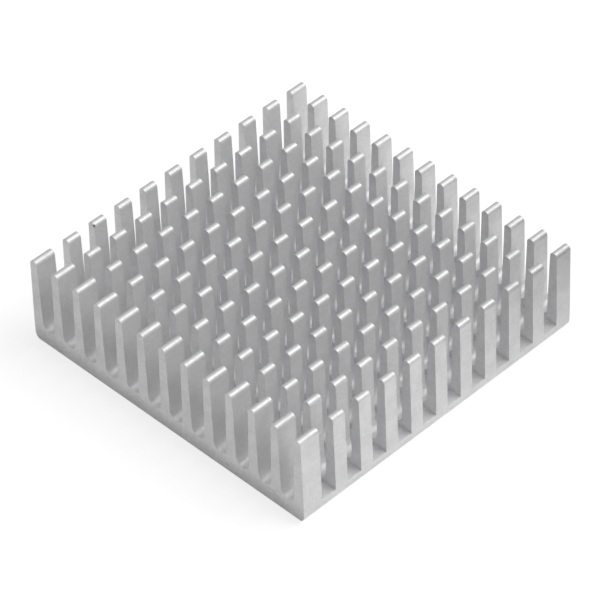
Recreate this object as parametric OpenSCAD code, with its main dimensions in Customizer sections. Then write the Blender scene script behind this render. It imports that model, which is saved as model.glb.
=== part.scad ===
// Pin fin heat sink: one aluminium extrusion with tall ribs, sawn across
// into rows of straight pins that stand on a flat base.
//
// X runs across the ribs, Y along the extrusion and Z up. The origin is the
// centre of the underside, the face that sits on the chip.

/* [Block] */
// Width across the ribs
base_w = 40; // [30:0.5:60]
// Length along the extrusion
base_l = 40; // [15:0.5:100]
// Height from the underside to the pin tips
overall_h = 11.3; // [7:0.1:20]

/* [Extruded section] */
// Number of ribs across the width
rib_count = 13; // [7:1:15]
// Thickness of a rib at its foot
rib_foot_t = 1.36; // [1.1:0.02:1.8]
// Slope of each side of a rib from upright, in degrees
rib_draft = 1.4; // [0.5:0.1:2]
// Metal left under the lowest point of a channel
channel_floor_t = 2.1; // [1.6:0.1:4]
// Rounding of the two long edges of the underside
base_edge_r = 0.95; // [0.3:0.05:1.4]

/* [Saw cuts] */
// Width of a saw cut
cut_w = 2; // [1:0.05:2.6]
// Distance from one saw cut to the next
cut_pitch = 3.7; // [3.2:0.05:6]
// Metal left under a saw cut
cut_floor_t = 1.55; // [1:0.05:3]
// How far the row of cuts sits off the middle of the block
cut_shift = 0.25; // [0:0.05:0.3]
// Break of the sawn ends' bottom edges
end_break = 0.15; // [0.1:0.05:0.5]

/* [Hidden] */
$fn = 48;
// Run-out of a cutter past the metal
run_out = 1;
// How far a round is over size, so that it crosses the sides it blends into
blend = 0.002;

half_w = base_w / 2;
rib_pitch = (base_w - rib_foot_t) / (rib_count - 1);

// The channel's root is a full round between the sloping sides
root_r = (rib_pitch - rib_foot_t) / 2 / cos(rib_draft) + blend;
root_z = channel_floor_t + root_r;
// The sides slope from here up
foot_z = root_z - root_r * sin(rib_draft);

// The tip is a full round too: a circle that touches both sides and the top
tip_r = (rib_foot_t / 2 * cos(rib_draft) - (overall_h - foot_z) * sin(rib_draft))
    / (1 - sin(rib_draft)) + blend;
tip_z = overall_h - tip_r;

// As many cuts as leave each end pin at least as long as the pins between
pin_l = cut_pitch - cut_w;
cut_count = floor((base_l - pin_l) / cut_pitch);

// Where each of count ribs or channels stands across the width
function across(i, count) = (i - (count - 1) / 2) * rib_pitch;
// Where each saw cut stands along the length
function along(j) = cut_shift + (j - (cut_count - 1) / 2) * cut_pitch;
// How far a sloping side has moved in at height z
function lean(z) = (z - foot_z) * tan(rib_draft);
// Half the gap between two ribs at height z
function half_gap(z) = (rib_pitch - rib_foot_t) / 2 + lean(z);

// The block before its channels are taken out, up to the centres of the
// tips: a slab with rounded bottom edges, and the outer ribs' sloping sides
module block_section() {
    top_half_w = half_w - lean(tip_z);
    polygon([
        [-half_w, base_edge_r], [half_w, base_edge_r], [half_w, foot_z],
        [top_half_w, tip_z], [-top_half_w, tip_z], [-half_w, foot_z]
    ]);
    translate([base_edge_r - half_w, 0]) square([base_w - 2 * base_edge_r, foot_z]);
    for (side = [-1, 1])
        translate([side * (half_w - base_edge_r), base_edge_r]) circle(base_edge_r);
}

// The open space between two ribs
module channel_section() {
    translate([0, root_z]) circle(root_r);
    polygon([
        [-half_gap(root_z), root_z], [half_gap(root_z), root_z],
        [half_gap(overall_h), overall_h], [-half_gap(overall_h), overall_h]
    ]);
}

module extrusion_section() {
    difference() {
        block_section();
        for (i = [0 : rib_count - 2])
            translate([across(i, rib_count - 1), 0]) channel_section();
    }
    for (i = [0 : rib_count - 1])
        translate([across(i, rib_count), tip_z]) circle(tip_r);
}

module saw_cuts() {
    for (j = [0 : cut_count - 1])
        translate([-base_w / 2 - run_out, along(j) - cut_w / 2, cut_floor_t])
            cube([base_w + 2 * run_out, cut_w, overall_h]);
}

// Breaks the bottom edge of each sawn end at 45 degrees
module end_breaks() {
    side = end_break * sqrt(2);
    for (end = [-1, 1])
        translate([0, end * base_l / 2, 0]) rotate([45, 0, 0])
            cube([base_w + 2 * run_out, side, side], center = true);
}

module heat_sink() {
    color([0.77, 0.77, 0.78])
        difference() {
            rotate([90, 0, 0])
                linear_extrude(base_l, center = true) extrusion_section();
            saw_cuts();
            end_breaks();
        }
}

heat_sink();
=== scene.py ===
"""The look of the pin fin heat sink: finish, floor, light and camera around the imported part."""

import math

import bpy
from mathutils import Euler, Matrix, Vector


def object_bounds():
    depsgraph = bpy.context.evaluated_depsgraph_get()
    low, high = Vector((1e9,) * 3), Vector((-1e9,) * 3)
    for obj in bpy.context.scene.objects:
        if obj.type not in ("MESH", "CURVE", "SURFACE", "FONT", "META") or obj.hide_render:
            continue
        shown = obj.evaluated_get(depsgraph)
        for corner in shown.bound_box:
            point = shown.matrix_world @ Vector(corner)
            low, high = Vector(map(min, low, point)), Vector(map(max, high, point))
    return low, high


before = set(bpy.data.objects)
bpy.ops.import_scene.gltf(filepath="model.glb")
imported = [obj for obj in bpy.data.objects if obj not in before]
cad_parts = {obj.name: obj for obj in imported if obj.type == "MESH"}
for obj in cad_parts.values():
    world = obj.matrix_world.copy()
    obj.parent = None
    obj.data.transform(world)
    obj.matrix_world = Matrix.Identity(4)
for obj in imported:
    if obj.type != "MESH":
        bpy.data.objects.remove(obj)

MM = 0.001
PER_MM = 1 / MM
CAD_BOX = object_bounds()
LOW, HIGH = CAD_BOX
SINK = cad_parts["heat_sink"]


# ---------------------------------------------------------------- node trees


class Tree:
    """The shader tree of a material or a world, with short calls for adding and joining nodes."""

    def __init__(self, owner):
        owner.use_nodes = True
        self.owner = owner
        self.nodes = owner.node_tree.nodes
        self.links = owner.node_tree.links
        self.nodes.clear()

    def add(self, kind, inputs=None, **settings):
        node = self.nodes.new("ShaderNode" + kind)
        for key, value in settings.items():
            setattr(node, key, value)
        for key, value in (inputs or {}).items():
            self.feed(node.inputs[key], value)
        return node

    def feed(self, socket, value):
        """A plain value is set on the socket, and another node's output is linked to it."""
        if isinstance(value, bpy.types.NodeSocket):
            self.links.new(value, socket)
        else:
            socket.default_value = value

    def maths(self, operation, *values):
        node = self.add("Math", operation=operation)
        for socket, value in zip(node.inputs, values):
            self.feed(socket, value)
        return node.outputs[0]

    def ramp(self, value, low, high, to_low=0.0, to_high=1.0):
        """Takes low..high to to_low..to_high, and stops there."""
        node = self.add("MapRange", {"Value": value, "From Min": low, "From Max": high,
                                     "To Min": to_low, "To Max": to_high})
        return node.outputs["Result"]

    def noise(self, coordinates, per_mm, detail=2.0):
        """Noise with so many cells to the millimetre along X, Y and Z."""
        scale = [count * PER_MM for count in per_mm]
        mapping = self.add("Mapping", {"Vector": coordinates, "Scale": scale})
        node = self.add("TexNoise", {"Vector": mapping.outputs[0], "Scale": 1.0,
                                     "Detail": detail})
        return node.outputs["Fac"]

    def distance(self, coordinates, point, flatten=(1, 1, 1)):
        """Distance from a point, with the axes marked 0 left out."""
        offset = self.add("VectorMath", {0: coordinates, 1: point}, operation="SUBTRACT")
        kept = self.add("VectorMath", {0: offset.outputs[0], 1: flatten}, operation="MULTIPLY")
        length = self.add("VectorMath", {0: kept.outputs[0]}, operation="LENGTH")
        return length.outputs["Value"]

    def mix(self, factor, first, second):
        node = self.add("Mix", data_type="RGBA")
        self.feed(node.inputs["Factor"], factor)
        self.feed(node.inputs[6], first)
        self.feed(node.inputs[7], second)
        return node.outputs[2]

    def surface(self, shader, kind="OutputMaterial"):
        """Ends the tree in its output, and gives back the material or world."""
        out = self.add(kind)
        self.links.new(shader, out.inputs["Surface"])
        return self.owner


# ------------------------------------------------------------------- finish

SKIN = (0.965, 0.965, 0.97, 1.0)
SKIN_DULL = (0.89, 0.89, 0.895, 1.0)
SAWN = (0.94, 0.94, 0.945, 1.0)
SAWN_DULL = (0.86, 0.86, 0.87, 1.0)
RUBBED = (0.97, 0.97, 0.97, 1.0)
# Colour of the painted shade near the underside and at the foot of the cuts' walls
LOW_SHADE_COLOUR = (0.45, 0.45, 0.45, 1.0)
# Colour of the painted shade in the small chip at one tip
NICK_SHADE = (0.2, 0.2, 0.2, 1.0)

# The saw cuts' floors lie below this level, and the extruded skin above it
SAWN_BELOW = 1.8 * MM
# The blade's axis stood above the part, so its teeth left long arcs on the walls
BLADE_AXIS = (6 * MM, 0, 52 * MM)
# How far in from an edge the rubbing reaches
EDGE_WEAR = 0.05 * MM
# Painted shade, darker towards the bottom: darkest below the first level and gone above the second
SHADE_LOW = 0.5 * MM
SHADE_HIGH = 2.6 * MM

# Cells to the millimetre along X, Y and Z
BLOTCH_CELLS = (0.45, 0.45, 0.45)
GRAIN_CELLS = (2.5, 2.5, 2.5)
DIE_LINE_CELLS = (9, 0.08, 9)
SAW_ARC_CELLS = 7

# Part of the light is mirrored as by metal, and the rest scattered as by its dull oxide
METAL_SHARE = 0.4
BUMP_DEPTH = 0.004 * MM

# A small chip at one tip's sawn edge, painted as a dark spot that stands in for the shade in it
NICK = (-18.97 * MM, -11.7 * MM, 11.05 * MM)
NICK_SIZE = 0.15 * MM


def sawn_walls(tree, normal):
    """1 on the sawn ends and the saw cuts' walls, which face along Y."""
    return tree.ramp(tree.maths("ABSOLUTE", normal.outputs["Y"]), 0.6, 0.8)


def sawn_mask(tree, position, normal):
    """1 on the saw cuts' walls and floors and on the sawn ends, 0 on the extruded skin."""
    wall = sawn_walls(tree, normal)
    level = tree.ramp(normal.outputs["Z"], 0.6, 0.8)
    low = tree.maths("LESS_THAN", position.outputs["Z"], SAWN_BELOW)
    return tree.maths("MAXIMUM", wall, tree.maths("MULTIPLY", level, low))


def tool_lines(tree, place, sawn):
    """Die lines along the extrusion, and the blade's arcs on what was sawn."""
    die = tree.noise(place, DIE_LINE_CELLS, detail=3.0)
    radius = tree.distance(place, BLADE_AXIS, flatten=(1, 0, 1))
    along = tree.maths("MULTIPLY", radius, SAW_ARC_CELLS * PER_MM)
    arcs = tree.add("TexNoise", {"W": along, "Scale": 1.0, "Detail": 3.0}, noise_dimensions="1D")
    return tree.mix(sawn, die, arcs.outputs["Fac"])


def painted_low_shade(tree, position, normal, patches):
    """Painted shade on the sawn ends near the underside, and a little at the foot of the cuts'
    walls, darker towards the bottom.
    """
    height = tree.maths("ADD", position.outputs["Z"], tree.maths("MULTIPLY", patches, MM))
    low = tree.ramp(height, SHADE_LOW, SHADE_HIGH, 0.7, 0.0)
    return tree.maths("MULTIPLY", sawn_walls(tree, normal), low)


def rubbed_edges(tree, worn, facing):
    """Above 0 at the edges, where the rounded normal leaves the true one."""
    bend = tree.add("VectorMath", {0: worn, 1: facing}, operation="DOT_PRODUCT")
    return tree.ramp(bend.outputs["Value"], 0.99, 0.85, 0.0, 0.6)


def base_colour(tree, tone, sawn, low_shade, rubbed, nick_shade):
    """Mottled metal, then the painted low shade, the bright rubbed edges and the chip's painted
    dark spot over it.
    """
    skin = tree.mix(tone, SKIN_DULL, SKIN)
    cut = tree.mix(tone, SAWN_DULL, SAWN)
    shaded = tree.mix(low_shade, tree.mix(sawn, skin, cut), LOW_SHADE_COLOUR)
    return tree.mix(nick_shade, tree.mix(rubbed, shaded, RUBBED), NICK_SHADE)


def roughness(tree, tone, sawn, rubbed):
    """Dull patches and sawn faces are rougher, and rubbed edges are smoother."""
    patchy = tree.ramp(tone, 0, 1, 0.54, 0.46)
    cut = tree.maths("ADD", patchy, tree.maths("MULTIPLY", sawn, 0.06))
    return tree.maths("SUBTRACT", cut, tree.maths("MULTIPLY", rubbed, 0.1))


def bump(tree, height, normal):
    relief = tree.add("Bump", {"Strength": 0.5, "Distance": BUMP_DEPTH, "Height": height,
                               "Normal": normal})
    return relief.outputs[0]


def aluminium():
    tree = Tree(bpy.data.materials.new("aluminium_finish"))
    place = tree.add("TexCoord").outputs["Object"]
    facing = tree.add("NewGeometry").outputs["Normal"]
    position = tree.add("SeparateXYZ", {"Vector": place})
    normal = tree.add("SeparateXYZ", {"Vector": facing})
    worn = tree.add("Bevel", {"Radius": EDGE_WEAR}, samples=4).outputs[0]

    blotch = tree.noise(place, BLOTCH_CELLS, detail=5.0)
    grain = tree.noise(place, GRAIN_CELLS, detail=4.0)
    tone = tree.ramp(tree.maths("ADD", blotch, grain), 0.8, 1.2)
    sawn = sawn_mask(tree, position, normal)
    # Painted shade: the sawn walls grow darker towards the bottom
    low_shade = painted_low_shade(tree, position, normal, grain)
    rubbed = rubbed_edges(tree, worn, facing)
    # Painted shade: the chip drawn as a dark spot
    nick_shade = tree.ramp(tree.distance(place, NICK), 1.5 * NICK_SIZE, 0.8 * NICK_SIZE)

    dented = bump(tree, grain, worn)
    metal = tree.add("BsdfPrincipled", {
        "Base Color": base_colour(tree, tone, sawn, low_shade, rubbed, nick_shade),
        "Metallic": METAL_SHARE,
        "Roughness": roughness(tree, tone, sawn, rubbed),
        "Normal": bump(tree, tool_lines(tree, place, sawn), dented)})
    return tree.surface(metal.outputs[0])


# ------------------------------------------------------------ floor and light

FLOOR_SIDE = 4.0
FLOOR_COLOUR = (0.5, 0.5, 0.5, 1.0)
FLOOR_GLOW = 0.72

CARD_COLOUR = (0.02, 0.02, 0.02, 1.0)
CARD_PLACE = (31 * MM, 27 * MM, 16 * MM)
CARD_FACES = (-0.9, -0.45, 0)
CARD_SIDE = 30 * MM

# The key light stands behind the object, to its right and high up
KEY_DIRECTION = (0.4, 0.5, 0.85)
KEY_DISTANCE = 0.6
KEY_SIDE = 0.5
KEY_STRENGTH = 2.5

SKY_AT_HORIZON = 0.05
SKY_OVERHEAD = 0.45


def floor_finish():
    """A pale floor that keeps the object's shadow and whitens where it is looked at."""
    tree = Tree(bpy.data.materials.new("floor_finish"))
    paths = tree.add("LightPath").outputs
    seen = tree.maths("MAXIMUM", paths["Is Camera Ray"],
                      tree.maths("MAXIMUM", paths["Is Glossy Ray"], paths["Is Transmission Ray"]))
    paint = tree.add("BsdfDiffuse", {"Color": FLOOR_COLOUR})
    glow = tree.add("Emission", {"Strength": tree.maths("MULTIPLY", seen, FLOOR_GLOW)})
    both = tree.add("AddShader", {0: paint.outputs[0], 1: glow.outputs[0]})
    return tree.surface(both.outputs[0])


def card_finish():
    """Dull black card."""
    tree = Tree(bpy.data.materials.new("card_finish"))
    card = tree.add("BsdfDiffuse", {"Color": CARD_COLOUR})
    return tree.surface(card.outputs[0])


def make_sheet(name, size, place, material):
    bpy.ops.mesh.primitive_plane_add(size=size, location=place)
    sheet = bpy.context.object
    sheet.name = name
    sheet.data.materials.append(material)
    return sheet


def face_towards(thing, direction):
    thing.rotation_mode = "QUATERNION"
    thing.rotation_quaternion = direction.to_track_quat("Z", "Y")


def make_dark_card(place, direction, size):
    """A card that darkens what the near faces mirror, unseen itself and without a shadow."""
    card = make_sheet("dark_card", size, place, card_finish())
    card.visible_camera = False
    card.visible_shadow = False
    face_towards(card, Vector(direction))


def softbox(name, direction, distance, side, strength):
    """A square area light that faces the object from a direction, with its radiance."""
    back = Vector(direction).normalized()
    data = bpy.data.lights.new(name, "AREA")
    data.shape = "SQUARE"
    data.size = side
    data.energy = strength * math.pi * side ** 2
    lamp = bpy.data.objects.new(name, data)
    lamp.location = back * distance
    face_towards(lamp, back)
    bpy.context.scene.collection.objects.link(lamp)


def make_world(low, high):
    """Even white light that grows from the horizon to straight above."""
    tree = Tree(bpy.data.worlds.new("studio"))
    way = tree.add("SeparateXYZ", {"Vector": tree.add("TexCoord").outputs["Generated"]})
    level = tree.ramp(way.outputs["Z"], 0, 1, low, high)
    sky = tree.add("Background", {"Color": (1, 1, 1, 1), "Strength": level})
    bpy.context.scene.world = tree.surface(sky.outputs[0], "OutputWorld")


# ------------------------------------------------------------------- camera

# Azimuth turns from straight in front, at -Y, towards +X
AZIMUTH = math.radians(45.93)
ELEVATION = math.radians(42.71)
ROLL = math.radians(-1.82)
DISTANCE = 0.402
LENS = 227.3
AIM = Vector((-1.78 * MM, 1.49 * MM, 2.46 * MM))


def make_camera():
    back = Vector((math.sin(AZIMUTH) * math.cos(ELEVATION),
                   -math.cos(AZIMUTH) * math.cos(ELEVATION), math.sin(ELEVATION)))
    data = bpy.data.cameras.new("camera")
    data.lens = LENS
    data.sensor_width = 36
    data.clip_start, data.clip_end = 0.01, 10
    camera = bpy.data.objects.new("camera", data)
    camera.location = AIM + back * DISTANCE
    camera.rotation_mode = "QUATERNION"
    camera.rotation_quaternion = back.to_track_quat("Z", "Y") @ Euler((0, 0, ROLL)).to_quaternion()
    bpy.context.scene.collection.objects.link(camera)
    bpy.context.scene.camera = camera


# --------------------------------------------------------------------- scene

SINK.material_slots[0].material = aluminium()
make_sheet("floor", FLOOR_SIDE, (0, 0, LOW.z), floor_finish())
make_dark_card(CARD_PLACE, CARD_FACES, CARD_SIDE)
softbox("key", KEY_DIRECTION, KEY_DISTANCE, KEY_SIDE, KEY_STRENGTH)
make_world(SKY_AT_HORIZON, SKY_OVERHEAD)
make_camera()
bpy.context.scene.view_settings.view_transform = "Standard"
